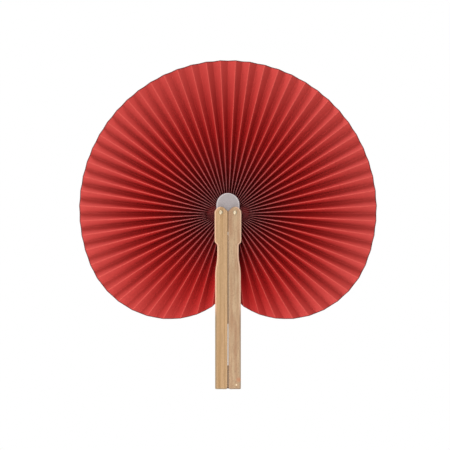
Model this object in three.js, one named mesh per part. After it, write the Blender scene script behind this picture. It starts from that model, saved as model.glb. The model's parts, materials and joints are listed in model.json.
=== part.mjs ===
// Round pleated hand fan on two hinged wooden arms, shown open.
// Millimetres, +Z up, the front faces -Y, the arms' lower end stands on z = 0.
import * as THREE from "three";

// Paper leaf
const leafRadius = 115; // centre to rim, at the top and the sides
const leafRise = 2.7; // leaf centre above the rivets
const panelWidth = 7.5; // one flat strip between two folds
const paperThickness = 0.4; // measured along Y, through the slope of a panel
const pleatsPerSide = 29;
const lastRidgeAngle = 163.5; // degrees from straight up, at the last fold that shows
const lastRidge = 27.5; // count of that fold from the top
const spreadGrowth = 0.04; // how much wider the lowest pleats open
const trimStart = 112; // degrees from straight up where the rim starts to run in
const trimDepth = 0.44; // share of the radius cut away straight down
const trimPower = 1.9;
const focusDrop = 4.6; // the upper folds meet this far below the leaf centre
const coreHalfHeight = 10.9; // oval that the inner ends of the folds stand on
const sectionGap = 0.3; // between two sections of the leaf
const rowsAlongFold = 4;

// Wooden arms
const armPivotOffset = 5.46; // rivet to the middle plane
const headHalfWidth = 10.3; // outer edge of an arm's head, from the middle plane
const neckHalfWidth = 8.25;
const gripHalfWidth = 9.9;
const seamHalfGap = 0.27; // between the arms, at their lower end
const seamTopHalfGap = 0.15; // and beside the rivets
const noseRadius = 4.4;
const headLength = 21.7; // rivet down to the shoulder
const shoulderLength = 4.2;
const neckLength = 6.2;
const flareLength = 17.1;
const endBlockLength = 17.4;
const scaleThickness = 2.2;
const edgeRounding = 0.3;
const webThickness = 2;
const webSeamGap = 0.03; // web face to the middle plane
const webOverrun = 22.6; // web past the end of the glued panel
const glueGap = 0.05;

// Hub
const plateRadius = 9;
const plateHalfStraight = 5.9;
const plateThickness = 1;
const plateRounding = 0.25;
const shankRadius = 0.9;
const rivetHeadRadius = 1.5;
const rivetHeadHeight = 0.8;
const bushingWall = 1.2;
const turnSteps = 16; // sides of a turned piece

// Clearances
const boreClearance = 0.25;
const sideClearance = 0.3; // leaf to plate, and plate to scale
const sweepClearance = 0.4; // a web past the plates' corners as its arm turns
const stackClearance = 1; // folded leaf to the end blocks
const seatClearance = 0.1; // rivet head to scale
const coreClearance = 0.49; // bushings to the folds' inner ends
const panelClearance = 0.17; // glued panel to the web
const blockInset = 0.5; // end block behind the scales' edges

// Sizes that follow
const pivotHeight = leafRise + leafRadius + stackClearance + endBlockLength;
const leafCentre = pivotHeight + leafRise;
const leafHalfDepth = (panelWidth + paperThickness) / 2;
const plateInner = leafHalfDepth + sideClearance;
const plateOuter = plateInner + plateThickness;
const scaleInner = plateOuter + sideClearance;
const scaleOuter = scaleInner + scaleThickness;
const boreRadius = shankRadius + boreClearance;
const bushingRadius = boreRadius + bushingWall;
const coreHalfWidth = armPivotOffset + bushingRadius + coreClearance;
const webOuter = webSeamGap + webThickness;
const glueEdge = webOuter + paperThickness + panelClearance;
const plateReach = Math.hypot(armPivotOffset, plateHalfStraight) + plateRadius;
const webTop = pivotHeight - plateReach - sweepClearance;
const gluedEnd = leafCentre - rimRadius(180 - degrees(Math.asin(glueEdge / leafRadius)));
const webBottom = gluedEnd - webOverrun;

const fan = new THREE.Group();
fan.name = "hand_fan";

function degrees(radians) {
  return (radians * 180) / Math.PI;
}

function radians(degreesValue) {
  return (degreesValue * Math.PI) / 180;
}

// R(a) = R0 (1 - d ((a - a0) / (180 - a0))^p) past the angle a0, and R0 before it.
function rimRadius(angle) {
  const past = Math.max(0, angle - trimStart) / (180 - trimStart);
  return leafRadius * (1 - trimDepth * past ** trimPower);
}

// Fold number k counts from the top: whole numbers are valleys, halves are ridges.
// a(k) = aLast (u + g u^7) / (1 + g) with u = k / kLast.
function foldAngle(k) {
  const u = k / lastRidge;
  return (lastRidgeAngle * (u + spreadGrowth * u ** 7)) / (1 + spreadGrowth);
}

// Both ends of fold k as [distance from the middle plane, height].
// The outer end lies on the rim. The inner end is where the line from there to
// the focus (fx, fz) crosses the core oval (x / a)^2 + (z / b)^2 = 1.
function foldLine(k) {
  const glued = k >= pleatsPerSide;
  const angle = glued ? 180 - degrees(Math.asin(glueEdge / leafRadius)) : foldAngle(k);
  const reach = rimRadius(angle);
  const outer = glued
    ? [glueEdge, leafCentre - reach]
    : [reach * Math.sin(radians(angle)), leafCentre + reach * Math.cos(radians(angle))];
  const fade = THREE.MathUtils.smoothstep(angle, 80, 140);
  const slide = THREE.MathUtils.smoothstep(angle, 150, 176);
  const focus = [glueEdge * slide, leafCentre - focusDrop * (1 - fade)];
  const along = [outer[0] - focus[0], outer[1] - focus[1]];
  const from = [focus[0] / coreHalfWidth, (focus[1] - pivotHeight) / coreHalfHeight];
  const step = [along[0] / coreHalfWidth, along[1] / coreHalfHeight];
  const a = step[0] ** 2 + step[1] ** 2;
  const b = from[0] * step[0] + from[1] * step[1];
  const c = from[0] ** 2 + from[1] ** 2 - 1;
  const t = (-b + Math.sqrt(b * b - a * c)) / a;
  return { inner: [focus[0] + along[0] * t, focus[1] + along[1] * t], outer };
}

function between(start, end, share) {
  return start.map((value, i) => value + (end[i] - value) * share);
}

function foldPoint(k, share) {
  const { inner, outer } = foldLine(k);
  return between(inner, outer, share);
}

// Half the depth of a pleat, from its panel's width w and the half pitch p: sqrt(w^2 - p^2) / 2.
function halfDepth(k, share) {
  const here = foldPoint(k, share);
  const next = foldPoint(k + 0.5, share);
  const pitch = Math.hypot(next[0] - here[0], next[1] - here[1]);
  return Math.sqrt(Math.max(panelWidth ** 2 - pitch ** 2, 1)) / 2;
}

// A fold's point in space. A section's edge stands back from the valley by half the gap,
// or by an eighth of the panel where the panels are closer together than that.
function leafPoint(side, k, share, towards) {
  const here = foldPoint(k, share);
  const ridge = Math.abs(k % 1) > 0.25;
  const depth = halfDepth(Math.max(k - 0.5, 0), share);
  const y = ridge ? -depth : depth;
  if (!towards) {
    return [side * here[0], y, here[1]];
  }
  const there = foldPoint(k + towards, share);
  const pitch = Math.hypot(there[0] - here[0], there[1] - here[1]);
  const back = Math.min(sectionGap / 2 / pitch, 1 / 8);
  const [x, z] = between(here, there, back);
  return [side * x, y - 2 * depth * back, z];
}

// V = sum of a . (b x c) / 6 over the triangles: a negative volume means they face inwards.
function faceOut(geometry) {
  const position = geometry.getAttribute("position");
  const index = geometry.getIndex();
  const a = new THREE.Vector3();
  const b = new THREE.Vector3();
  const c = new THREE.Vector3();
  let volume = 0;
  for (let i = 0; i < index.count; i += 3) {
    a.fromBufferAttribute(position, index.getX(i));
    b.fromBufferAttribute(position, index.getX(i + 1));
    c.fromBufferAttribute(position, index.getX(i + 2));
    volume += a.dot(b.cross(c)) / 6;
  }
  if (volume < 0) {
    for (let i = 0; i < index.count; i += 3) {
      const first = index.getX(i);
      index.setX(i, index.getX(i + 1));
      index.setX(i + 1, first);
    }
  }
  geometry.computeVertexNormals();
  return geometry;
}

// One section of the leaf: a zigzag sheet between folds kFrom and kTo, closed all round.
function leafSection(side, kFrom, kTo) {
  const columns = Math.round((kTo - kFrom) * 2) + 1;
  const rows = rowsAlongFold + 1;
  const positions = [];
  for (const face of [-1, 1]) {
    for (let row = 0; row < rows; row += 1) {
      for (let column = 0; column < columns; column += 1) {
        const k = kFrom + column / 2;
        const first = column === 0 ? 0.5 : 0;
        const last = column === columns - 1 ? -0.5 : 0;
        const [x, y, z] = leafPoint(side, k, row / rowsAlongFold, first + last);
        positions.push(x, y + (face * paperThickness) / 2, z);
      }
    }
  }
  const at = (face, row, column) => (face * rows + row) * columns + column;
  const indices = [];
  const quad = (p, q, r, s) => indices.push(p, q, r, p, r, s);
  for (let row = 0; row < rows - 1; row += 1) {
    for (let column = 0; column < columns - 1; column += 1) {
      quad(at(0, row, column), at(0, row, column + 1), at(0, row + 1, column + 1), at(0, row + 1, column));
      quad(at(1, row, column), at(1, row + 1, column), at(1, row + 1, column + 1), at(1, row, column + 1));
    }
    quad(at(0, row, 0), at(0, row + 1, 0), at(1, row + 1, 0), at(1, row, 0));
    quad(at(0, row + 1, columns - 1), at(0, row, columns - 1), at(1, row, columns - 1), at(1, row + 1, columns - 1));
  }
  for (let column = 0; column < columns - 1; column += 1) {
    quad(at(0, 0, column + 1), at(0, 0, column), at(1, 0, column), at(1, 0, column + 1));
    const top = rows - 1;
    quad(at(0, top, column), at(0, top, column + 1), at(1, top, column + 1), at(1, top, column));
  }
  const geometry = new THREE.BufferGeometry();
  geometry.setAttribute("position", new THREE.Float32BufferAttribute(positions, 3));
  geometry.setIndex(indices);
  return faceOut(geometry);
}

// An outline in X and Z made into a plate between yLow and yHigh, its edges rounded off.
function plateFrom(shape, yLow, yHigh, rounding, curveSteps) {
  const geometry = new THREE.ExtrudeGeometry(shape, {
    depth: yHigh - yLow - 2 * rounding,
    bevelEnabled: rounding > 0,
    bevelThickness: rounding,
    bevelSize: rounding,
    bevelOffset: -rounding,
    bevelSegments: 1,
    curveSegments: curveSteps,
  });
  geometry.rotateX(Math.PI / 2);
  geometry.translate(0, yHigh - rounding, 0);
  return geometry;
}

// One arm seen from the front. side is -1 for the left arm and 1 for the right one.
function armOutline(side) {
  const shoulder = pivotHeight - headLength;
  const neckTop = shoulder - shoulderLength;
  const neckEnd = neckTop - neckLength;
  const flareEnd = neckEnd - flareLength;
  const noseSide = noseRadius * Math.cos(radians(30));
  const noseRise = noseRadius * Math.sin(radians(30));
  const shape = new THREE.Shape();
  shape.moveTo(side * (seamHalfGap + 1), 0);
  shape.lineTo(side * (gripHalfWidth - 0.8), 0);
  shape.quadraticCurveTo(side * gripHalfWidth, 0, side * gripHalfWidth, 0.8);
  shape.lineTo(side * gripHalfWidth, flareEnd);
  shape.bezierCurveTo(
    side * gripHalfWidth, flareEnd + flareLength * 0.45,
    side * neckHalfWidth, neckEnd - flareLength * 0.4,
    side * neckHalfWidth, neckEnd,
  );
  shape.lineTo(side * neckHalfWidth, neckTop);
  shape.bezierCurveTo(
    side * neckHalfWidth, neckTop + shoulderLength * 0.55,
    side * headHalfWidth, shoulder - shoulderLength * 0.55,
    side * headHalfWidth, shoulder,
  );
  shape.lineTo(side * headHalfWidth, pivotHeight + 0.8);
  shape.lineTo(side * (armPivotOffset + noseSide), pivotHeight + noseRise);
  for (let turn = 45; turn < 150; turn += 15) {
    const across = noseRadius * Math.cos(radians(turn));
    shape.lineTo(side * (armPivotOffset + across), pivotHeight + noseRadius * Math.sin(radians(turn)));
  }
  shape.lineTo(side * (armPivotOffset - noseSide), pivotHeight + noseRise);
  shape.lineTo(side * (seamTopHalfGap + 0.5), pivotHeight + 1.3);
  shape.lineTo(side * seamTopHalfGap, pivotHeight + 0.6);
  shape.lineTo(side * seamHalfGap, 1.8);
  shape.holes.push(rivetHole(side, side > 0));
  return shape;
}

// A hole runs round the other way than the outline that it is in.
function rivetHole(side, clockwise) {
  const hole = new THREE.Path();
  hole.absarc(side * armPivotOffset, pivotHeight, boreRadius, 0, 2 * Math.PI, clockwise);
  return hole;
}

// Two half circles joined by straight sides, with both rivet holes.
function hubOutline() {
  const shape = new THREE.Shape();
  shape.moveTo(plateRadius, pivotHeight - plateHalfStraight);
  shape.lineTo(plateRadius, pivotHeight + plateHalfStraight);
  shape.absarc(0, pivotHeight + plateHalfStraight, plateRadius, 0, Math.PI, false);
  shape.lineTo(-plateRadius, pivotHeight - plateHalfStraight);
  shape.absarc(0, pivotHeight - plateHalfStraight, plateRadius, Math.PI, 2 * Math.PI, false);
  shape.holes.push(rivetHole(-1, true), rivetHole(1, true));
  return shape;
}

// A box given by its lowest and highest corners.
function block(low, high) {
  const size = high.map((value, i) => value - low[i]);
  const geometry = new THREE.BoxGeometry(...size);
  geometry.translate(...low.map((value, i) => value + size[i] / 2));
  return geometry;
}

// A block beside the middle plane: near and far are distances from it.
function armBlock(side, near, far, zLow, zHigh) {
  const depth = scaleInner - glueGap;
  const xs = [side * near, side * far].sort((p, q) => p - q);
  return block([xs[0], -depth, zLow], [xs[1], depth, zHigh]);
}

// A rivet turned about Y, with a low domed head at each end of its shank.
function rivet(side) {
  const seat = scaleOuter + seatClearance;
  const dome = (end) =>
    [0, 0.33, 0.67, 1].map((share) => {
      const turn = (share * Math.PI) / 2;
      return new THREE.Vector2(
        rivetHeadRadius * Math.sin(turn),
        end * (seat + rivetHeadHeight * (0.35 + 0.65 * Math.cos(turn))),
      );
    });
  const profile = [
    ...dome(-1),
    new THREE.Vector2(rivetHeadRadius, -seat),
    new THREE.Vector2(shankRadius, -seat),
    new THREE.Vector2(shankRadius, seat),
    new THREE.Vector2(rivetHeadRadius, seat),
    ...dome(1).reverse(),
  ];
  const geometry = faceOut(new THREE.LatheGeometry(profile, turnSteps));
  geometry.translate(side * armPivotOffset, 0, pivotHeight);
  return geometry;
}

// The tube on each rivet that keeps the two plates apart.
function bushing(side) {
  const half = plateInner - seatClearance;
  const profile = [
    new THREE.Vector2(boreRadius, -half),
    new THREE.Vector2(bushingRadius, -half),
    new THREE.Vector2(bushingRadius, half),
    new THREE.Vector2(boreRadius, half),
    new THREE.Vector2(boreRadius, -half),
  ];
  const geometry = faceOut(new THREE.LatheGeometry(profile, turnSteps));
  geometry.translate(side * armPivotOffset, 0, pivotHeight);
  return geometry;
}

function add(parent, name, geometry, color, roughness, metalness) {
  const material = new THREE.MeshStandardMaterial({ color, roughness, metalness });
  const mesh = new THREE.Mesh(geometry, material);
  mesh.name = name;
  parent.add(mesh);
}

function groupNamed(name) {
  const group = new THREE.Group();
  group.name = name;
  fan.add(group);
  return group;
}

const hub = groupNamed("hub");
add(hub, "front_hub_plate", plateFrom(hubOutline(), -plateOuter, -plateInner, plateRounding, 14), "#b0adac", 0.45, 0.8);
add(hub, "back_hub_plate", plateFrom(hubOutline(), plateInner, plateOuter, plateRounding, 14), "#b0adac", 0.45, 0.8);

for (const [label, side] of [["left", -1], ["right", 1]]) {
  add(hub, `${label}_rivet`, rivet(side), "#d9c9a0", 0.35, 0.9);
  add(hub, `${label}_bushing`, bushing(side), "#c9b27a", 0.4, 0.9);

  const arm = groupNamed(`${label}_arm`);
  const outline = armOutline(side);
  add(arm, `${label}_front_scale`, plateFrom(outline, -scaleOuter, -scaleInner, edgeRounding, 6), "#c7a275", 0.7, 0);
  add(arm, `${label}_back_scale`, plateFrom(outline, scaleInner, scaleOuter, edgeRounding, 6), "#c7a275", 0.7, 0);
  add(arm, `${label}_web`, armBlock(side, webSeamGap, webOuter, webBottom, webTop), "#b88f62", 0.75, 0);
  const blockFar = gripHalfWidth - blockInset;
  add(arm, `${label}_end_block`, armBlock(side, webSeamGap, blockFar, 0.3, endBlockLength), "#b88f62", 0.75, 0);

  const leaf = groupNamed(`${label}_leaf`);
  let number = 1;
  for (let k = 0; k < pleatsPerSide; k += k === 0 ? 1 : 2) {
    const name = `${label}_pleats_${String(number).padStart(2, "0")}`;
    add(leaf, name, leafSection(side, k, k === 0 ? 1 : k + 2), "#c0392f", 0.8, 0);
    number += 1;
  }
}

export default fan;
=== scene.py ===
# Round pleated paper fan on two hinged wooden arms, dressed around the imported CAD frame.
import json
import math

import bmesh
import bpy
import numpy as np
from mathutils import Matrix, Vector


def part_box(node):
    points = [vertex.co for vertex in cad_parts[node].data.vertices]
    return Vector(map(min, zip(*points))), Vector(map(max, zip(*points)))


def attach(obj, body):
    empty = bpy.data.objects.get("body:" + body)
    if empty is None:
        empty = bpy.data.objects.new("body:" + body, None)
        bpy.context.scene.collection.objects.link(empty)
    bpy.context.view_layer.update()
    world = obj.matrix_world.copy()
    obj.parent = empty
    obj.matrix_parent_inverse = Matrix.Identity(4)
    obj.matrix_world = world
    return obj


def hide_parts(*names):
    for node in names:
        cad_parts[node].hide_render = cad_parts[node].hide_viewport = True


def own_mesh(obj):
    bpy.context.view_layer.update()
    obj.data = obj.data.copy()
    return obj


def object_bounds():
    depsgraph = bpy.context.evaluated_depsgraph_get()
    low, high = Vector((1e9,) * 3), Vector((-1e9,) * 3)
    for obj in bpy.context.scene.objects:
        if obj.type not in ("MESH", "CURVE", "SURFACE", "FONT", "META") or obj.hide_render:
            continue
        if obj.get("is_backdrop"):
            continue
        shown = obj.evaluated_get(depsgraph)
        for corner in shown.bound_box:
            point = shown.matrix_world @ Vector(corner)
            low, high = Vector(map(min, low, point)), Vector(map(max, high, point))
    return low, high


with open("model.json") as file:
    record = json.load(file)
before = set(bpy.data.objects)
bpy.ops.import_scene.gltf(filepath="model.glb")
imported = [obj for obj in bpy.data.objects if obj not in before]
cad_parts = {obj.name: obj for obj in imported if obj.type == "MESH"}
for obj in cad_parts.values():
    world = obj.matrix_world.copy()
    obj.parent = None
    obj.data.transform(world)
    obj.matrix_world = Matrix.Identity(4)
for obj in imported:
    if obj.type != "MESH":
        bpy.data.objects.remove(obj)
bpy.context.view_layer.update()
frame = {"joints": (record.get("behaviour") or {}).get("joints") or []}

millimetre = 0.001
scene = bpy.context.scene
joints = {joint["name"]: joint for joint in frame["joints"]}
pivotOffset = joints["right_arm_turn"]["pos_m"][0]
pivotHeight = joints["right_arm_turn"]["pos_m"][2]
sides = {"left": -1, "right": 1}


# Numbers and curves

def smoothStep(value, low, high):
    # 3t^2 - 2t^3 with t = (value - low) / (high - low), held between 0 and 1
    t = np.clip((value - low) / (high - low), 0, 1)
    return t * t * (3 - 2 * t)


def bezier(controls, count):
    # the point at t is the sum of binomial(n, i) t^i (1 - t)^(n - i) times control i
    t = np.linspace(0, 1, count)[:, None]
    order = len(controls) - 1
    weights = [math.comb(order, i) * t**i * (1 - t) ** (order - i) for i in range(order + 1)]
    return sum(weight * np.array(control) for weight, control in zip(weights, controls))


def arc(centre, radius, startAngle, endAngle, count):
    # centre + radius (cos a, sin a), with a in degrees from start to end
    a = np.radians(np.linspace(startAngle, endAngle, count))
    return np.array(centre) + radius * np.stack([np.cos(a), np.sin(a)], -1)


def evenly(points, count):
    # the same path with its points an equal length apart
    steps = np.linalg.norm(np.diff(points, axis=0), axis=1)
    travelled = np.concatenate([[0], np.cumsum(steps)])
    wanted = np.linspace(0, travelled[-1], count)
    return np.stack([np.interp(wanted, travelled, points[:, i]) for i in (0, 1)], -1)


# Shader expressions

class Shade:
    # a shader socket that operators and nodes build on
    def __init__(self, tree, socket=None):
        self.tree = tree
        self.socket = socket

    def node(self, kind, settings=None, inputs=None, output=0):
        # one node: its settings first, then the values or links of its sockets
        made = self.tree.nodes.new(kind)
        for name, value in (settings or {}).items():
            setattr(made, name, value)
        for name, value in (inputs or {}).items():
            if isinstance(value, Shade):
                self.tree.links.new(value.socket, made.inputs[name])
            else:
                made.inputs[name].default_value = value
        return Shade(self.tree, made.outputs[output] if len(made.outputs) else None)

    def math(self, operation, first, second):
        return self.node("ShaderNodeMath", {"operation": operation}, {0: first, 1: second})

    def __add__(self, other):
        return self.math("ADD", self, other)

    def __mul__(self, other):
        return self.math("MULTIPLY", self, other)

    __radd__ = __add__
    __rmul__ = __mul__

    def ramp(self, low, high):
        # smooth step from 0 at low to 1 at high, and low may be the larger one
        inputs = {"Value": self, "From Min": low, "From Max": high}
        return self.node("ShaderNodeMapRange", {"interpolation_type": "SMOOTHSTEP"}, inputs)

    def mix(self, plain, other):
        # plain where this socket is 0 and other where it is 1
        return self.node("ShaderNodeMix", {"data_type": "RGBA"}, {0: self, 6: plain, 7: other}, 2)

    def tint(self, base):
        # a colour times this socket's number
        settings = {"data_type": "RGBA", "blend_type": "MULTIPLY"}
        return self.node("ShaderNodeMix", settings, {0: 1.0, 6: base, 7: self}, 2)

    def place(self):
        return self.node("ShaderNodeTexCoord", output="Object")

    def field(self, name):
        return self.node("ShaderNodeAttribute", {"attribute_name": name}, output="Fac")

    def noise(self, perMetre, detail=3.0, shift=(0, 0, 0)):
        # noise with its own number of features per metre along X, Y and Z
        inputs = {"Vector": self.place(), "Location": shift, "Scale": perMetre}
        moved = self.node("ShaderNodeMapping", None, inputs)
        return self.node("ShaderNodeTexNoise", None, {"Vector": moved, "Scale": 1.0, "Detail": detail})

    def spot(self, centre, radius, softness):
        # 1 inside a ball round centre and 0 outside it
        inputs = {0: self.place(), 1: centre}
        distance = self.node("ShaderNodeVectorMath", {"operation": "DISTANCE"}, inputs, "Value")
        return distance.ramp(radius + softness, radius)

    def bump(self, height, depth, strength):
        return self.node("ShaderNodeBump", None, {"Height": height, "Distance": depth, "Strength": strength})

    def finish(self, inputs):
        surface = self.node("ShaderNodeBsdfPrincipled", None, inputs)
        self.node("ShaderNodeOutputMaterial", None, {"Surface": surface})


def newShade(name):
    material = bpy.data.materials.new(name)
    material.use_nodes = True
    material.node_tree.nodes.clear()
    return material, Shade(material.node_tree)


def colour(code):
    # a web colour code as linear red, green, blue and alpha
    values = [int(code[i : i + 2], 16) / 255 for i in (0, 2, 4)]
    return tuple(v / 12.92 if v <= 0.04045 else ((v + 0.055) / 1.055) ** 2.4 for v in values) + (1.0,)


# Meshes

def gridQuads(rows, columns, closed=False):
    # faces of a grid laid row by row, with the last column joined to the first if closed
    i, j = np.meshgrid(np.arange(rows - 1), np.arange(columns if closed else columns - 1), indexing="ij")
    right = (j + 1) % columns
    corners = [i * columns + j, i * columns + right, (i + 1) * columns + right, (i + 1) * columns + j]
    return np.stack(corners, -1).reshape(-1, 4)


def meshPiece(name, grids, material, sharpAngle):
    # one closed mesh from several grids: (points[rows, columns, 3], closed, {attribute: values})
    mesh = bpy.data.meshes.new(name)
    points = np.concatenate([grid.reshape(-1, 3) for grid, _, _ in grids])
    starts = np.cumsum([0] + [grid.shape[0] * grid.shape[1] for grid, _, _ in grids])
    quads = [gridQuads(*grid.shape[:2], closed) + start for (grid, closed, _), start in zip(grids, starts)]
    mesh.from_pydata(points, [], np.concatenate(quads))
    for field in grids[0][2]:
        values = np.concatenate([fields[field].ravel() for _, _, fields in grids])
        mesh.attributes.new(field, "FLOAT", "POINT").data.foreach_set("value", values.astype(np.float32))
    weld(mesh, sharpAngle)
    mesh.materials.append(material)
    piece = bpy.data.objects.new(name, mesh)
    scene.collection.objects.link(piece)
    return piece


def weld(mesh, sharpAngle):
    # joins seams and poles, turns the faces outward and shades smooth up to sharpAngle degrees
    work = bmesh.new()
    work.from_mesh(mesh)
    bmesh.ops.remove_doubles(work, verts=work.verts, dist=0.0005 * millimetre)
    bmesh.ops.recalc_face_normals(work, faces=work.faces)
    work.to_mesh(mesh)
    work.free()
    mesh.shade_smooth()
    mesh.set_sharp_from_angle(angle=math.radians(sharpAngle))


def dress(piece, body, slotName, *nodes):
    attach(piece, body)
    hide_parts(*nodes)


def slabGrids(outer, inner, yLow, yHigh, rounding, innerRounding=None, columns=10, roundSteps=5):
    # Both paths run from the bottom middle to the top middle in X and Z, point by point abreast.
    # The rim is the closed outline, moved in by r (1 - sin t) at r (1 - cos t) below each face.
    # Each face is ruled straight across between abreast points, on both sides of the piece.
    count = len(outer)
    loop = np.concatenate([outer, inner[-2:0:-1]])
    after = np.roll(loop, -1, 0)
    tangent = after - np.roll(loop, 1, 0)
    turning = np.sign(np.sum(loop[:, 0] * after[:, 1] - after[:, 0] * loop[:, 1]))
    normal = np.stack([tangent[:, 1], -tangent[:, 0]], -1) * turning
    normal /= np.linalg.norm(normal, axis=1, keepdims=True)
    onOuter = np.arange(len(loop)) < count
    t = np.linspace(0, math.pi / 2, roundSteps + 1)[:, None]
    radius = np.where(onOuter, rounding, innerRounding or rounding)
    insets = radius * (1 - np.sin(t))
    depths = radius * (1 - np.cos(t))
    insets = np.concatenate([insets, insets[::-1]])
    ys = np.concatenate([yLow + depths, yHigh - depths[::-1]])
    rim = loop - normal * insets[..., None]
    rimPoints = np.stack([rim[..., 0], ys, rim[..., 1]], -1)

    # a face point's distances to the two sides become the attributes outerGap and innerGap
    span = np.linalg.norm(outer - inner, axis=1)
    loopSpan = np.concatenate([span, span[-2:0:-1]])
    rimFields = {
        "outerGap": np.broadcast_to(np.where(onOuter, 0, loopSpan), rim.shape[:2]),
        "innerGap": np.broadcast_to(np.where(onOuter, loopSpan, 0), rim.shape[:2]),
    }
    abreast = np.concatenate([[0], len(loop) - np.arange(1, count - 1), [count - 1]])
    share = (1 - np.cos(np.linspace(0, math.pi, columns + 1))) / 2
    near, far = rim[0][:count], rim[0][abreast]
    flat = near[:, None] + (far - near)[:, None] * share[:, None]
    faceFields = {"outerGap": span[:, None] * share, "innerGap": span[:, None] * (1 - share)}
    faces = [np.stack([flat[..., 0], np.full(flat.shape[:2], y), flat[..., 1]], -1) for y in (yLow, yHigh)]
    return [(rimPoints, True, rimFields)] + [(face, False, faceFields) for face in faces]


def turnedGrid(profile, x, z, steps=48):
    # profile points (r, y) turned about the line along Y through x and z: (x + r cos a, y, z + r sin a)
    a = np.linspace(0, 2 * math.pi, steps, endpoint=False)
    r, y = np.array(profile).T[:, :, None]
    points = np.stack([x + r * np.cos(a), np.broadcast_to(y, (len(profile), steps)), z + r * np.sin(a)], -1)
    return [(points, True, {})]


def boreOut(piece, radius, *centresX):
    # cuts a round hole along Y at the rivet height through a piece, at each X given
    low, high = np.array(piece.bound_box)[[0, 6], 1] + np.array([-1, 1]) * millimetre
    for x in centresX:
        profile = [(0, low), (radius, low), (radius, high), (0, high)]
        cutter = meshPiece("cutter", turnedGrid(profile, x, pivotHeight), piece.data.materials[0], 30)
        cut = piece.modifiers.new("bore", "BOOLEAN")
        cut.operation = "DIFFERENCE"
        cut.solver = "EXACT"
        cut.object = cutter
        evaluated = piece.evaluated_get(bpy.context.evaluated_depsgraph_get())
        made = bpy.data.meshes.new_from_object(evaluated)
        piece.modifiers.clear()
        piece.data = made
        bpy.data.objects.remove(cutter)


# Paper leaf

leaf = {  # lengths in millimetres, angles in degrees
    "radius": 115.0,
    "rise": 2.7,  # leaf centre above the rivets
    "panelWidth": 7.5,
    "sheet": 0.22,  # paper thickness along Y
    "pleatsPerSide": 29,
    "lastRidgeAngle": 163.5,  # from the top round to the last ridge
    "lastRidge": 27.5,  # its number
    "spreadGrowth": 0.04,  # how much wider the pleats grow towards the arms
    "spreadPower": 7,
    "trimStart": 112,  # where the rim begins to draw in towards the arms
    "trimDepth": 0.44,
    "trimPower": 1.9,
    "focusDrop": 4.6,  # the upper folds aim at a point below the leaf's centre
    "focusRaised": (80, 140),  # angles over which that point comes up to the centre
    "focusAside": (150, 176),  # angles over which it moves out to the glued edge
    "coreHalfWidth": 8.3,
    "coreHalfHeight": 10.9,
    "glueEdge": 2.6,  # from the middle to the panel glued to the arm
    "creaseRadius": 0.2,
    "panelSag": 0.06,  # how far a panel bows between its folds
    "bowWaves": (9.1, 3),  # how fast the bow changes from panel to panel and outwards
    "foldDrift": 0.022,  # how far a ridge strays, as a share of a pleat
    "driftWaves": (2.4, 1.1, 5.7),
    "stackStep": 0.28,  # folded thickness of one pleat
    "stackLean": 4.0,  # tilt of the folded pleats
    "panelSteps": 8,
    "rows": 64,
    "rowCrowding": 1.6,  # above 1 the rows crowd towards the hub
}
pinch = {  # where the pleats are pressed flat beside the arms' heads, with lengths in millimetres
    "centreX": 9.3,
    "drop": 1.1,  # below the rivets
    "halfWidth": 6.2,
    "halfHeight": 5.2,
    "softness": 0.5,  # width of its soft edge, as a share of the ellipse
    "flattening": 0.88,
    "depth": 0.9,  # how far the pressed paper lies behind the middle
}


def isRidge(k):
    # folds are valleys at whole numbers and ridges at halves
    return k % 1 > 0.25


def foldEnds(k):
    # Fold k lies at angle a = A (u + g u^n) / (1 + g), with u = k / K for the last ridge K at angle A.
    # Its outer end is R (1 - d ((a - a0) / (180 - a0))^p) from the leaf's centre, and its inner end is
    # where the line from there to the focus crosses the core oval.
    u = k / leaf["lastRidge"]
    growth = leaf["spreadGrowth"]
    angle = leaf["lastRidgeAngle"] * (u + growth * u ** leaf["spreadPower"]) / (1 + growth)
    glued = k >= leaf["pleatsPerSide"]
    angle = np.where(glued, 180 - math.degrees(math.asin(leaf["glueEdge"] / leaf["radius"])), angle)
    past = np.clip((angle - leaf["trimStart"]) / (180 - leaf["trimStart"]), 0, None)
    reach = leaf["radius"] * (1 - leaf["trimDepth"] * past ** leaf["trimPower"])
    turn = np.radians(angle)
    outerX = np.where(glued, leaf["glueEdge"], reach * np.sin(turn))
    outerZ = leaf["rise"] + np.where(glued, -reach, reach * np.cos(turn))
    focusX = leaf["glueEdge"] * smoothStep(angle, *leaf["focusAside"])
    focusZ = leaf["rise"] - leaf["focusDrop"] * (1 - smoothStep(angle, *leaf["focusRaised"]))
    fromX, fromZ = focusX / leaf["coreHalfWidth"], focusZ / leaf["coreHalfHeight"]
    stepX, stepZ = (outerX - focusX) / leaf["coreHalfWidth"], (outerZ - focusZ) / leaf["coreHalfHeight"]
    a = stepX**2 + stepZ**2
    b = fromX * stepX + fromZ * stepZ
    c = fromX**2 + fromZ**2 - 1
    t = (np.sqrt(b * b - a * c) - b) / a
    outer = np.stack([outerX, outerZ], -1)
    return np.stack([focusX, focusZ], -1) * (1 - t)[:, None] + outer * t[:, None], outer


def foldLines(k, share):
    # Points of the folds k at the shares of their length, as rows x folds x 2. A ridge strays from its
    # number by d sin(a k + b sin(c k)), which never repeats round the leaf.
    a, b, c = leaf["driftWaves"]
    stray = leaf["foldDrift"] * np.sin(a * k + b * np.sin(c * k)) * isRidge(k)
    inner, outer = foldEnds(k + stray)
    return inner + (outer - inner) * share[:, None, None]


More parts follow.
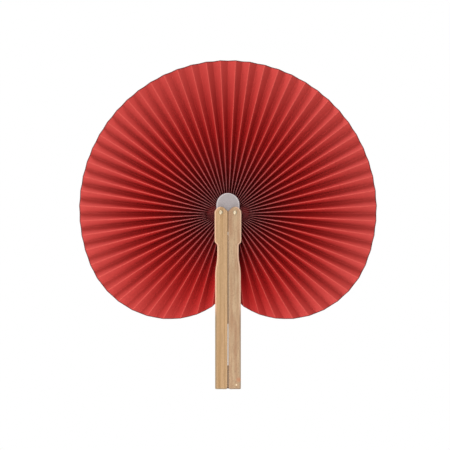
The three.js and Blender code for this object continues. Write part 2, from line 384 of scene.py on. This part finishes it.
def sectionGrids(side, kFrom, kTo):
    # A fold lies sqrt(w^2 - p^2) / 2 behind or before the middle, for panels of width w and pitch p.
    # Across a panel the height falls as asin(c cos(pi t)) / asin(c), and c = 1 - (pi r / p)^2 / 2 rounds
    # each fold over its radius r.
    share = np.linspace(0, 1, leaf["rows"] + 1) ** leaf["rowCrowding"]
    folds = np.arange(kFrom, kTo + 0.25, 0.5)
    lines = foldLines(folds, share)
    before = np.maximum(folds - 0.5, 0)
    pitch = np.linalg.norm(foldLines(before, share) - foldLines(before + 0.5, share), axis=-1)
    depth = np.sqrt(np.maximum(leaf["panelWidth"] ** 2 - pitch**2, 1)) / 2
    height = np.where(isRidge(folds), -depth, depth)

    t = (1 - np.cos(np.linspace(0, math.pi, leaf["panelSteps"] + 1))) / 2
    panels = len(folds) - 1
    panel = np.append(np.repeat(np.arange(panels), leaf["panelSteps"]), panels - 1)
    t = np.append(np.tile(t[:-1], panels), 1)
    step = np.linalg.norm(lines[:, 1:] - lines[:, :-1], axis=-1).mean(1, keepdims=True)
    sharp = np.maximum(1 - (math.pi * leaf["creaseRadius"] / step) ** 2 / 2, 0.5)
    level = (1 - np.arcsin(sharp * np.cos(math.pi * t)) / np.arcsin(sharp)) / 2
    flat = lines[:, panel] * (1 - t)[:, None] + lines[:, panel + 1] * t[:, None]
    aside, outwards = leaf["bowWaves"]
    bow = np.sin(aside * (folds[panel] + 0.25) + outwards * share[:, None])  # taken at the panel's middle
    y = height[:, panel] * (1 - level) + height[:, panel + 1] * level
    y = y + leaf["panelSag"] * np.sin(math.pi * t) * bow * share[:, None]

    # the pinch is an ellipse beside the arm's head, 1 at its edge
    dx = (flat[..., 0] - pinch["centreX"]) / pinch["halfWidth"]
    dz = (flat[..., 1] + pinch["drop"]) / pinch["halfHeight"]
    pressed = smoothStep(np.hypot(dx, dz), 1 + pinch["softness"], 1)
    y = y * (1 - pinch["flattening"] * pressed) + pinch["depth"] * pressed

    ridgeGap = np.where(isRidge(folds[panel]), t, 1 - t) * step
    length = np.linalg.norm(lines[-1] - lines[0], axis=-1)[panel]
    fields = {
        "ridgeGap": np.broadcast_to(ridgeGap, y.shape),
        "rimGap": (1 - share)[:, None] * length,
        "coreGap": share[:, None] * length,
        "pressed": pressed,
    }
    front = np.stack([side * flat[..., 0], y - leaf["sheet"] / 2, flat[..., 1]], -1)
    back = front + np.array([0, leaf["sheet"], 0])
    place = np.array([0, 0, pivotHeight])
    around = np.concatenate([front, back[:, ::-1]], 1) * millimetre + place
    aroundFields = {name: np.concatenate([v, v[:, ::-1]], 1) for name, v in fields.items()}
    grids = [(around, True, aroundFields)]
    for row in (0, -1):  # the cut edges at the core and the rim
        edge = np.stack([front[row], back[row]]) * millimetre + place
        grids.append((edge, False, {name: np.stack([v[row], v[row]]) for name, v in fields.items()}))
    return grids


paper = {
    # the core red is painted shade of the deep narrow folds by the hub; the rim red is the dye's own tone
    "redsWithHubShade": ("6c0506", "7c0a09", "882824"),  # by the core, half way out and at the rim
    "dyeFloor": 0.75,  # the dye's share of its tone before fibres, specks and mottling lighten it
    "fibreWeight": 0.22,
    "speckWeight": 0.18,
    "mottle": 0.1,
    "coreBand": (6, 55),  # where the first red turns into the second, from the folds' inner ends
    "rimBand": (46, 108),
    # ridge tones: partly crease wear, partly painted highlight along the crests
    "ridgeWearAndHighlightCore": "7a4c4c",
    "ridgeWearAndHighlightRim": "943830",
    "ridgeWearAndHighlightWidth": (0.5, 0.15),
    "ridgeWearAndHighlightFibres": (0.35, 0.65),
    # the cut tone is partly the cut edge's own dark tone, partly painted shade along the rim
    "cut": "3a1414",
    "rimCutAndShadeWidth": (0.75, 0.5),
    "rimCutAndShadeShare": 0.9,
    # the pressed tone is painted shade for the patch's recess between the raised pleats
    "pressed": "470b0f",
    "pressedShadeShare": 0.5,
}


def paperMaterial():
    # dyed matt paper: mottled red, paler at the rim as the dye's tone and darker towards the core as painted
    # shade, fibres, ridges lightened partly by crease wear and partly by painted highlight, a dark rim band
    # that is partly the cut edge and partly painted shade, a pressed patch darkened with painted shade
    material, shade = newShade("leafPaper")
    cloud = shade.noise((55, 55, 55), 2)
    fibre = shade.noise((1500, 1500, 1500), 4)
    speck = shade.noise((3600, 3600, 3600), 2, (0.4, 0.1, 0.7))
    coreGap = shade.field("coreGap")
    core, middle, rim = (colour(code) for code in paper["redsWithHubShade"])
    # the red deepens inwards: paler towards the rim as the dye's own tone, darker at the core as painted
    # shade of the deep folds
    outwards = coreGap.ramp(*paper["rimBand"])
    base = outwards.mix(coreGap.ramp(*paper["coreBand"]).mix(core, middle), rim)
    # lighter along the ridges: partly crease wear, partly painted highlight on the crests
    ridgeWearAndHighlight = shade.field("ridgeGap").ramp(*paper["ridgeWearAndHighlightWidth"])
    tone = coreGap.ramp(*paper["coreBand"]).mix(colour(paper["ridgeWearAndHighlightCore"]), colour(paper["ridgeWearAndHighlightRim"]))
    base = (ridgeWearAndHighlight * (0.4 + 0.5 * fibre.ramp(*paper["ridgeWearAndHighlightFibres"]))).mix(base, tone)
    grain = paper["dyeFloor"] + paper["fibreWeight"] * fibre + paper["speckWeight"] * speck
    base = (grain + paper["mottle"] * cloud).tint(base)
    # the pressed patch is darkened with painted shade of its recess
    base = (paper["pressedShadeShare"] * shade.field("pressed")).mix(base, colour(paper["pressed"]))
    # a dark band along the rim: partly the cut edge's own tone, partly painted shade
    cut = shade.field("rimGap").ramp(*paper["rimCutAndShadeWidth"])
    base = (paper["rimCutAndShadeShare"] * cut).mix(base, colour(paper["cut"]))
    shade.finish({
        "Base Color": base,
        "Roughness": 0.62 + 0.2 * fibre,
        "Specular IOR Level": 0.15,
        "Normal": shade.bump(fibre + 0.5 * speck, 0.05 * millimetre, 0.5),
    })
    return material


def makeLeaf():
    material = paperMaterial()
    for label, side in sides.items():
        starts = [0] + list(range(1, leaf["pleatsPerSide"], 2))
        for number, kFrom in enumerate(starts, 1):
            kTo = kFrom + (2 if kFrom else 1)
            code = f"{label}_pleats_{number:02d}"
            piece = meshPiece(f"{label}_paper_{number:02d}", sectionGrids(side, kFrom, kTo), material, 50)
            dress(piece, f"{code}_body", "leaf_paper", code)
            foldFlat(piece, side, kFrom, kTo)


def foldFlat(piece, side, kFrom, kTo):
    # Works out the inner end of a section's middle fold as an anchor and the share of its width its pleats
    # would take in the folded stack, then gives the piece a mesh of its own. No point is moved, so the
    # section keeps its open pleats.
    inner, outer = foldEnds(np.array([kFrom, (kFrom + kTo) / 2, kTo], float))
    along = (outer[1] - inner[1]) / np.linalg.norm(outer[1] - inner[1])
    across = np.array([along[1], -along[0]])
    width = abs((outer[2] - outer[0]) @ across)
    x, z = inner[1] * millimetre
    anchor = (side * x, leaf["panelWidth"] / 2 * millimetre, pivotHeight + z)
    leaf["stackStep"] * (kTo - kFrom) / width
    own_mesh(piece)


# Wooden arms

arm = {  # lengths in millimetres, angles in degrees
    "headHalfWidth": 10.3,
    "neckHalfWidth": 8.25,
    "gripHalfWidth": 9.9,
    "seamHalfGap": 0.26,  # between the arms at their lower end
    "seamTopHalfGap": 0.07,
    "noseRadius": 4.4,
    "headLength": 21.7,
    "shoulderLength": 4.2,
    "neckLength": 6.2,
    "flareLength": 17.1,
    "flarePull": (0.45, 0.4),  # its curve's handles, as shares of its length
    "shoulderPull": 0.55,
    "headTop": 0.8,  # above the rivet, where the outer edge turns into the nose
    "noseTurn": (30, 150),  # where the nose's arc begins and ends
    "seamEnd": ((0, 0.6), (0.5, 1.3)),  # last points of the seam edge, from its top gap and the rivet
    "bottomEase": 0.8,
    "bottomChamfer": (1.0, 1.8),
    "rounding": 0.42,
    "seamRounding": 0.14,
    "barRounding": 0.25,
    "bore": 1.15,
    "pathPoints": 300,
}


def armPaths(side):
    # outer and seam edge of one arm, each from the middle of its lower end to the top of its nose, in metres
    pivot = pivotHeight / millimetre
    x = pivotOffset / millimetre
    grip, neck, head = arm["gripHalfWidth"], arm["neckHalfWidth"], arm["headHalfWidth"]
    seam, seamTop = arm["seamHalfGap"], arm["seamTopHalfGap"]
    shoulder = pivot - arm["headLength"]
    neckTop = shoulder - arm["shoulderLength"]
    neckEnd = neckTop - arm["neckLength"]
    flareEnd = neckEnd - arm["flareLength"]
    flare, rise = arm["flareLength"], arm["shoulderLength"]
    low, high = arm["flarePull"]
    pull = arm["shoulderPull"]
    flareCurve = [(grip, flareEnd), (grip, flareEnd + low * flare)]
    flareCurve += [(neck, neckEnd - high * flare), (neck, neckEnd)]
    shoulderCurve = [(neck, neckTop), (neck, neckTop + pull * rise)]
    shoulderCurve += [(head, shoulder - pull * rise), (head, shoulder)]
    chamferX, chamferZ = arm["bottomChamfer"]
    seamEnd = [(seamTop + right, pivot + up) for right, up in arm["seamEnd"]]
    turnFrom, turnTo = arm["noseTurn"]
    start = np.array([[(grip + seam) / 2, 0]])
    outer = [
        start,
        bezier([(grip - arm["bottomEase"], 0), (grip, 0), (grip, arm["bottomEase"])], 8),
        bezier(flareCurve, 24),
        bezier(shoulderCurve, 16),
        np.array([[head, pivot + arm["headTop"]]]),
        arc((x, pivot), arm["noseRadius"], turnFrom, 90, 24),
    ]
    inner = [
        start,
        np.array([(seam + chamferX, 0), (seam, chamferZ)] + seamEnd),
        arc((x, pivot), arm["noseRadius"], turnTo, 90, 24),
    ]
    paths = [evenly(np.concatenate(path), arm["pathPoints"]) for path in (outer, inner)]
    return [path * (side, 1) * millimetre for path in paths]


def boxPaths(low, high, count=120):
    # the two sides of a plain rectangle in X and Z, from the middle of its bottom to the middle of its top
    middle = (low[0] + high[0]) / 2
    paths = []
    for x in (high[0], low[0]):
        corners = np.array([(middle, low[2]), (x, low[2]), (x, high[2]), (middle, high[2])])
        paths.append(evenly(corners, count))
    return paths


# each wood's edge tone is a painted pinkish highlight with a reflection of the red leaf, and its low tone is
# painted shade
woods = {
    "left": {
        "pale": "826647", "deep": "715531", "poreAndSeamShade": "51371c", "edge": "a07c65", "low": "63543d",
        "streaks": (700, 700, 9), "speckle": 0.2, "shift": (0.0, 0.0, 0.0),
    },
    "right": {
        "pale": "7c664c", "deep": "6f5238", "poreAndSeamShade": "4e3420", "edge": "967865", "low": "604f3d",
        "streaks": (420, 420, 45), "speckle": 0.5, "shift": (3.1, 1.7, 0.4),
    },
    "core": {
        "pale": "6b4a2a", "deep": "54361a", "poreAndSeamShade": "38220f", "edge": "6b4a2a", "low": "54361a",
        "streaks": (600, 600, 16), "speckle": 0.5, "shift": (1.3, 5.2, 2.2),
    },
}
woodMarksAndPaintedLight = {  # where each tone begins and is full, in metres, and how strongly it shows
    "edgeLightChange": (0.054, 0.066),  # heights between which the outer edge turns from painted shade to a painted pinkish highlight and reflection of the leaf
    "outerEdgeLight": (1.1 * millimetre, 0.3 * millimetre),
    "outerEdgeLightShare": 0.7,
    "seamShade": (0.35 * millimetre, 0.05 * millimetre),
    "seamShadeShare": 0.85,
    "lowerEndShade": (1.2 * millimetre, 0.3 * millimetre),
    "lowerEndShadeShare": 0.75,
    "poreShare": 0.45,
    "markShare": 0.75,
    "marks": {  # X and Z of the centre, radius, softness and tone
        "right": (
            ((0.0065, 0.0033), 0.3 * millimetre, 0.6 * millimetre, "ae9e84"),
            ((0.0084, 0.0072), 0.6 * millimetre, 2.2 * millimetre, "7d4f32"),
        ),
    },
}


def woodMaterial(name):
    # sanded wood: streaks along Z, pores, speckles, an outer edge with a painted pinkish highlight and
    # reflection of the leaf above and painted shade below, painted shade along the seam edge and the lower
    # end, an odd mark
    wood = woods[name]
    material, shade = newShade(name + "Wood")
    streak = shade.noise(wood["streaks"], 4, wood["shift"])
    fine = shade.noise((3400, 3400, 90), 3, wood["shift"])
    speckle = shade.noise((1300, 1300, 900), 3, wood["shift"])
    cloud = shade.noise((160, 160, 40), 2, wood["shift"])
    base = streak.ramp(0.32, 0.68).mix(colour(wood["deep"]), colour(wood["pale"]))
    base = (0.9 + 0.2 * cloud).tint(base)
    base = (woodMarksAndPaintedLight["poreShare"] * fine.ramp(0.56, 0.72)).mix(base, colour(wood["poreAndSeamShade"]))
    base = (wood["speckle"] * speckle.ramp(0.55, 0.75)).mix(base, colour(wood["poreAndSeamShade"]))
    height = shade.node("ShaderNodeSeparateXYZ", None, {0: shade.place()}, "Z")
    # the outer edge: painted shade in the low tone below the leaf, painted highlight and reflection of the
    # leaf in the edge tone beside it
    edgeLightTone = height.ramp(*woodMarksAndPaintedLight["edgeLightChange"]).mix(colour(wood["low"]), colour(wood["edge"]))
    outerEdgeLight = shade.field("outerGap").ramp(*woodMarksAndPaintedLight["outerEdgeLight"])
    base = (woodMarksAndPaintedLight["outerEdgeLightShare"] * outerEdgeLight).mix(base, edgeLightTone)
    # painted shade along the seam edge between the arms, in the pore tone
    seamShade = shade.field("innerGap").ramp(*woodMarksAndPaintedLight["seamShade"])
    base = (woodMarksAndPaintedLight["seamShadeShare"] * seamShade).mix(base, colour(wood["poreAndSeamShade"]))
    # painted shade along the arm's lower end, in the low tone
    base = (woodMarksAndPaintedLight["lowerEndShadeShare"] * height.ramp(*woodMarksAndPaintedLight["lowerEndShade"])).mix(base, colour(wood["low"]))
    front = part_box("right_front_scale")[0].y
    for (x, z), radius, softness, tone in woodMarksAndPaintedLight["marks"].get(name, ()):
        base = (woodMarksAndPaintedLight["markShare"] * shade.spot((x, front, z), radius, softness)).mix(base, colour(tone))
    shade.finish({
        "Base Color": base,
        "Roughness": 0.55 + 0.25 * fine,
        "Specular IOR Level": 0.4,
        "Normal": shade.bump(fine + 0.6 * streak, 0.06 * millimetre, 0.6),
    })
    return material


def makeArms():
    coreWood = woodMaterial("core")
    for label, side in sides.items():
        material = woodMaterial(label)
        outer, inner = armPaths(side)
        for face in ("front", "back"):
            node = f"{label}_{face}_scale"
            low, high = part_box(node)
            rounding, seamRounding = arm["rounding"] * millimetre, arm["seamRounding"] * millimetre
            grids = slabGrids(outer, inner, low.y, high.y, rounding, seamRounding)
            piece = meshPiece(f"{label}_{face}_wood", grids, material, 40)
            boreOut(piece, arm["bore"] * millimetre, side * pivotOffset)
            dress(piece, f"{label}_arm", "arm_wood", node)
        for part in ("web", "end_block"):
            low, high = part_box(f"{label}_{part}")
            rounding = arm["barRounding"] * millimetre
            grids = slabGrids(*boxPaths(low, high), low.y, high.y, rounding, columns=6, roundSteps=3)
            piece = meshPiece(f"{label}_{part}_wood", grids, coreWood, 40)
            dress(piece, f"{label}_arm", "core_wood", f"{label}_{part}")


# Hub plates, rivets and bushings

hub = {  # lengths in millimetres
    "plateRounding": 0.45,
    "plateTones": ("666060", "6d6565"),
    "plateEdgeHighlight": "857d7e",
    "plateEdgeHighlightWidth": (1.0, 0.5),
    "plateEdgeHighlightShare": 0.7,
    "bore": 1.15,
    "rivetHead": 1.5,
    "rivetShank": 0.9,
    "rivetSeat": 7.85,
    "rivetBrim": 0.3,
    "rivetUnderside": 0.96,  # of the head's radius, where it meets the plate
    "brassTones": ("988e7b", "7d6b4f"),
    "bushingChamfer": 0.2,
}


def plateMaterial():
    # satin metal with fine rolling lines and a painted highlight along its rounded edge
    material, shade = newShade("plateSatin")
    lines = shade.noise((260, 2000, 5200), 3)
    grain = shade.noise((2600, 2600, 2600), 3)
    begins, full = (width * millimetre for width in hub["plateEdgeHighlightWidth"])
    # a painted highlight along the plate's rounded edge
    edge = shade.field("outerGap").ramp(begins, full) + shade.field("innerGap").ramp(begins, full)
    dark, light = (colour(code) for code in hub["plateTones"])
    base = lines.ramp(0.3, 0.7).mix(dark, light)
    base = (0.92 + 0.16 * grain).tint(base)
    base = (hub["plateEdgeHighlightShare"] * edge).mix(base, colour(hub["plateEdgeHighlight"]))
    shade.finish({
        "Base Color": base,
        "Metallic": 0.35,
        "Roughness": 0.42 + 0.2 * lines,
        "Normal": shade.bump(lines + grain, 0.02 * millimetre, 0.4),
    })
    return material


def brassMaterial():
    # polished brass, pale, with dents and a few duller patches
    material, shade = newShade("rivetBrass")
    dents = shade.noise((900, 900, 900), 2)
    dull = shade.noise((1800, 1800, 1800), 3, (2.0, 0.5, 1.0))
    bright, tarnished = (colour(code) for code in hub["brassTones"])
    base = dull.ramp(0.35, 0.7).mix(bright, tarnished)
    shade.finish({
        "Base Color": base,
        "Metallic": 0.75,
        "Roughness": 0.34 + 0.25 * dull,
        "Normal": shade.bump(dents, 0.25 * millimetre, 0.5),
    })
    return material


def platePaths(count=200):
    # the right and left half of two half circles joined by straight sides
    low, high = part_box("front_hub_plate")
    radius = high.x
    top, bottom = high.z - radius, low.z + radius
    right = np.concatenate([arc((0, bottom), radius, -90, 0, 48), arc((0, top), radius, 0, 90, 48)])
    right = evenly(right, count)
    return right, right * (-1, 1)


def rivetProfile(end):
    # from the pole of a dome round its brim to the shank, with the dome's height brim + h cos t
    seat, brim = hub["rivetSeat"], hub["rivetBrim"]
    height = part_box("left_rivet")[1].y / millimetre - seat - brim
    t = np.linspace(0, math.pi / 2, 12)
    dome = [(hub["rivetHead"] * math.sin(v), end * (seat + brim + height * math.cos(v))) for v in t]
    dome[0] = (0, dome[0][1])
    return dome + [(hub["rivetHead"] * hub["rivetUnderside"], end * seat), (hub["rivetShank"], end * seat)]


def bushingProfile():
    # a tube's section with its four edges broken, closed on itself
    low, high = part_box("left_bushing")
    outerRadius, half = (high.x - low.x) / 2 / millimetre, high.y / millimetre
    bore, cut = hub["bore"], hub["bushingChamfer"]
    corners = [(bore, half - cut), (bore + cut, half), (outerRadius - cut, half), (outerRadius, half - cut)]
    mirrored = [(r, -y) for r, y in reversed(corners)]
    return corners + mirrored + corners[:1]


def makeHub():
    plate, brass = plateMaterial(), brassMaterial()
    for face in ("front", "back"):
        node = f"{face}_hub_plate"
        low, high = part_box(node)
        rounding = hub["plateRounding"] * millimetre
        grids = slabGrids(*platePaths(), low.y, high.y, rounding, columns=24, roundSteps=6)
        piece = meshPiece(f"{face}_satin_plate", grids, plate, 40)
        boreOut(piece, hub["bore"] * millimetre, -pivotOffset, pivotOffset)
        dress(piece, "hub", "hub_plate", node)
    for label, side in sides.items():
        shapes = {"rivet": rivetProfile(-1) + rivetProfile(1)[::-1], "bushing": bushingProfile()}
        for part, profile in shapes.items():
            grids = turnedGrid(np.array(profile) * millimetre, side * pivotOffset, pivotHeight)
            piece = meshPiece(f"{label}_turned_{part}", grids, brass, 45)
            dress(piece, "hub", "rivet_brass", f"{label}_{part}")


# Studio

studio = {  # in metres, except the lens
    "floorDrop": 0.6,
    "floorRings": (0.0, 0.5, 1.5, 4.0),
    "floorTones": ("f9f9f8", "fdfdfc"),
    "camera": (-0.0023, -1.451, 0.1264),
    "lens": 150,
    "skyStrength": 1.0,
    "lamps": {  # place, size, watts
        "overhead": ((-0.3, -0.3, 1.5), 0.8, 31),
        "front": ((-0.3, -1.6, 0.4), 1.2, 22),
        "back": ((0.3, 1.6, 0.4), 1.2, 18),
        "bounce": ((-0.25, -0.35, -0.5), 0.5, 5.5),
    },
}


def makeStudio():
    # a round pale floor: (r cos a, r sin a, -drop)
    radii = np.array(studio["floorRings"])[:, None]
    a = np.linspace(0, 2 * math.pi, 64, endpoint=False)
    level = np.full((len(radii), len(a)), -studio["floorDrop"])
    points = np.stack([radii * np.cos(a), radii * np.sin(a), level], -1)
    material, shade = newShade("paleFloor")
    patch = shade.noise((3, 3, 3), 3)
    dull, bright = (colour(code) for code in studio["floorTones"])
    shade.finish({"Base Color": patch.mix(dull, bright), "Roughness": 0.9})
    floor = meshPiece("floor", [(points, True, {})], material, 30)
    floor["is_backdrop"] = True

    world = bpy.data.worlds.new("paleWorld")
    world.use_nodes = True
    world.node_tree.nodes["Background"].inputs["Color"].default_value = (1, 1, 1, 1)
    world.node_tree.nodes["Background"].inputs["Strength"].default_value = studio["skyStrength"]
    scene.world = world
    scene.view_settings.view_transform = "Standard"

    for name, (place, size, watts) in studio["lamps"].items():
        lamp = bpy.data.lights.new(name, "AREA")
        lamp.shape, lamp.size, lamp.energy = "DISK", size, watts
        holder = bpy.data.objects.new(name, lamp)
        holder.location = place
        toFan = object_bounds()[0].lerp(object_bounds()[1], 0.5) - holder.location
        holder.rotation_euler = toFan.to_track_quat("-Z", "Y").to_euler()
        holder.visible_camera = False
        scene.collection.objects.link(holder)

    eye = bpy.data.cameras.new("camera")
    eye.lens = studio["lens"]
    camera = bpy.data.objects.new("camera", eye)
    camera.location = studio["camera"]
    camera.rotation_euler = (math.pi / 2, 0, 0)
    scene.collection.objects.link(camera)
    scene.camera = camera


makeStudio()
print("studio ready")
makeLeaf()
print("paper leaf folded")
makeArms()
print("wooden arms shaped")
makeHub()
print("hub riveted")
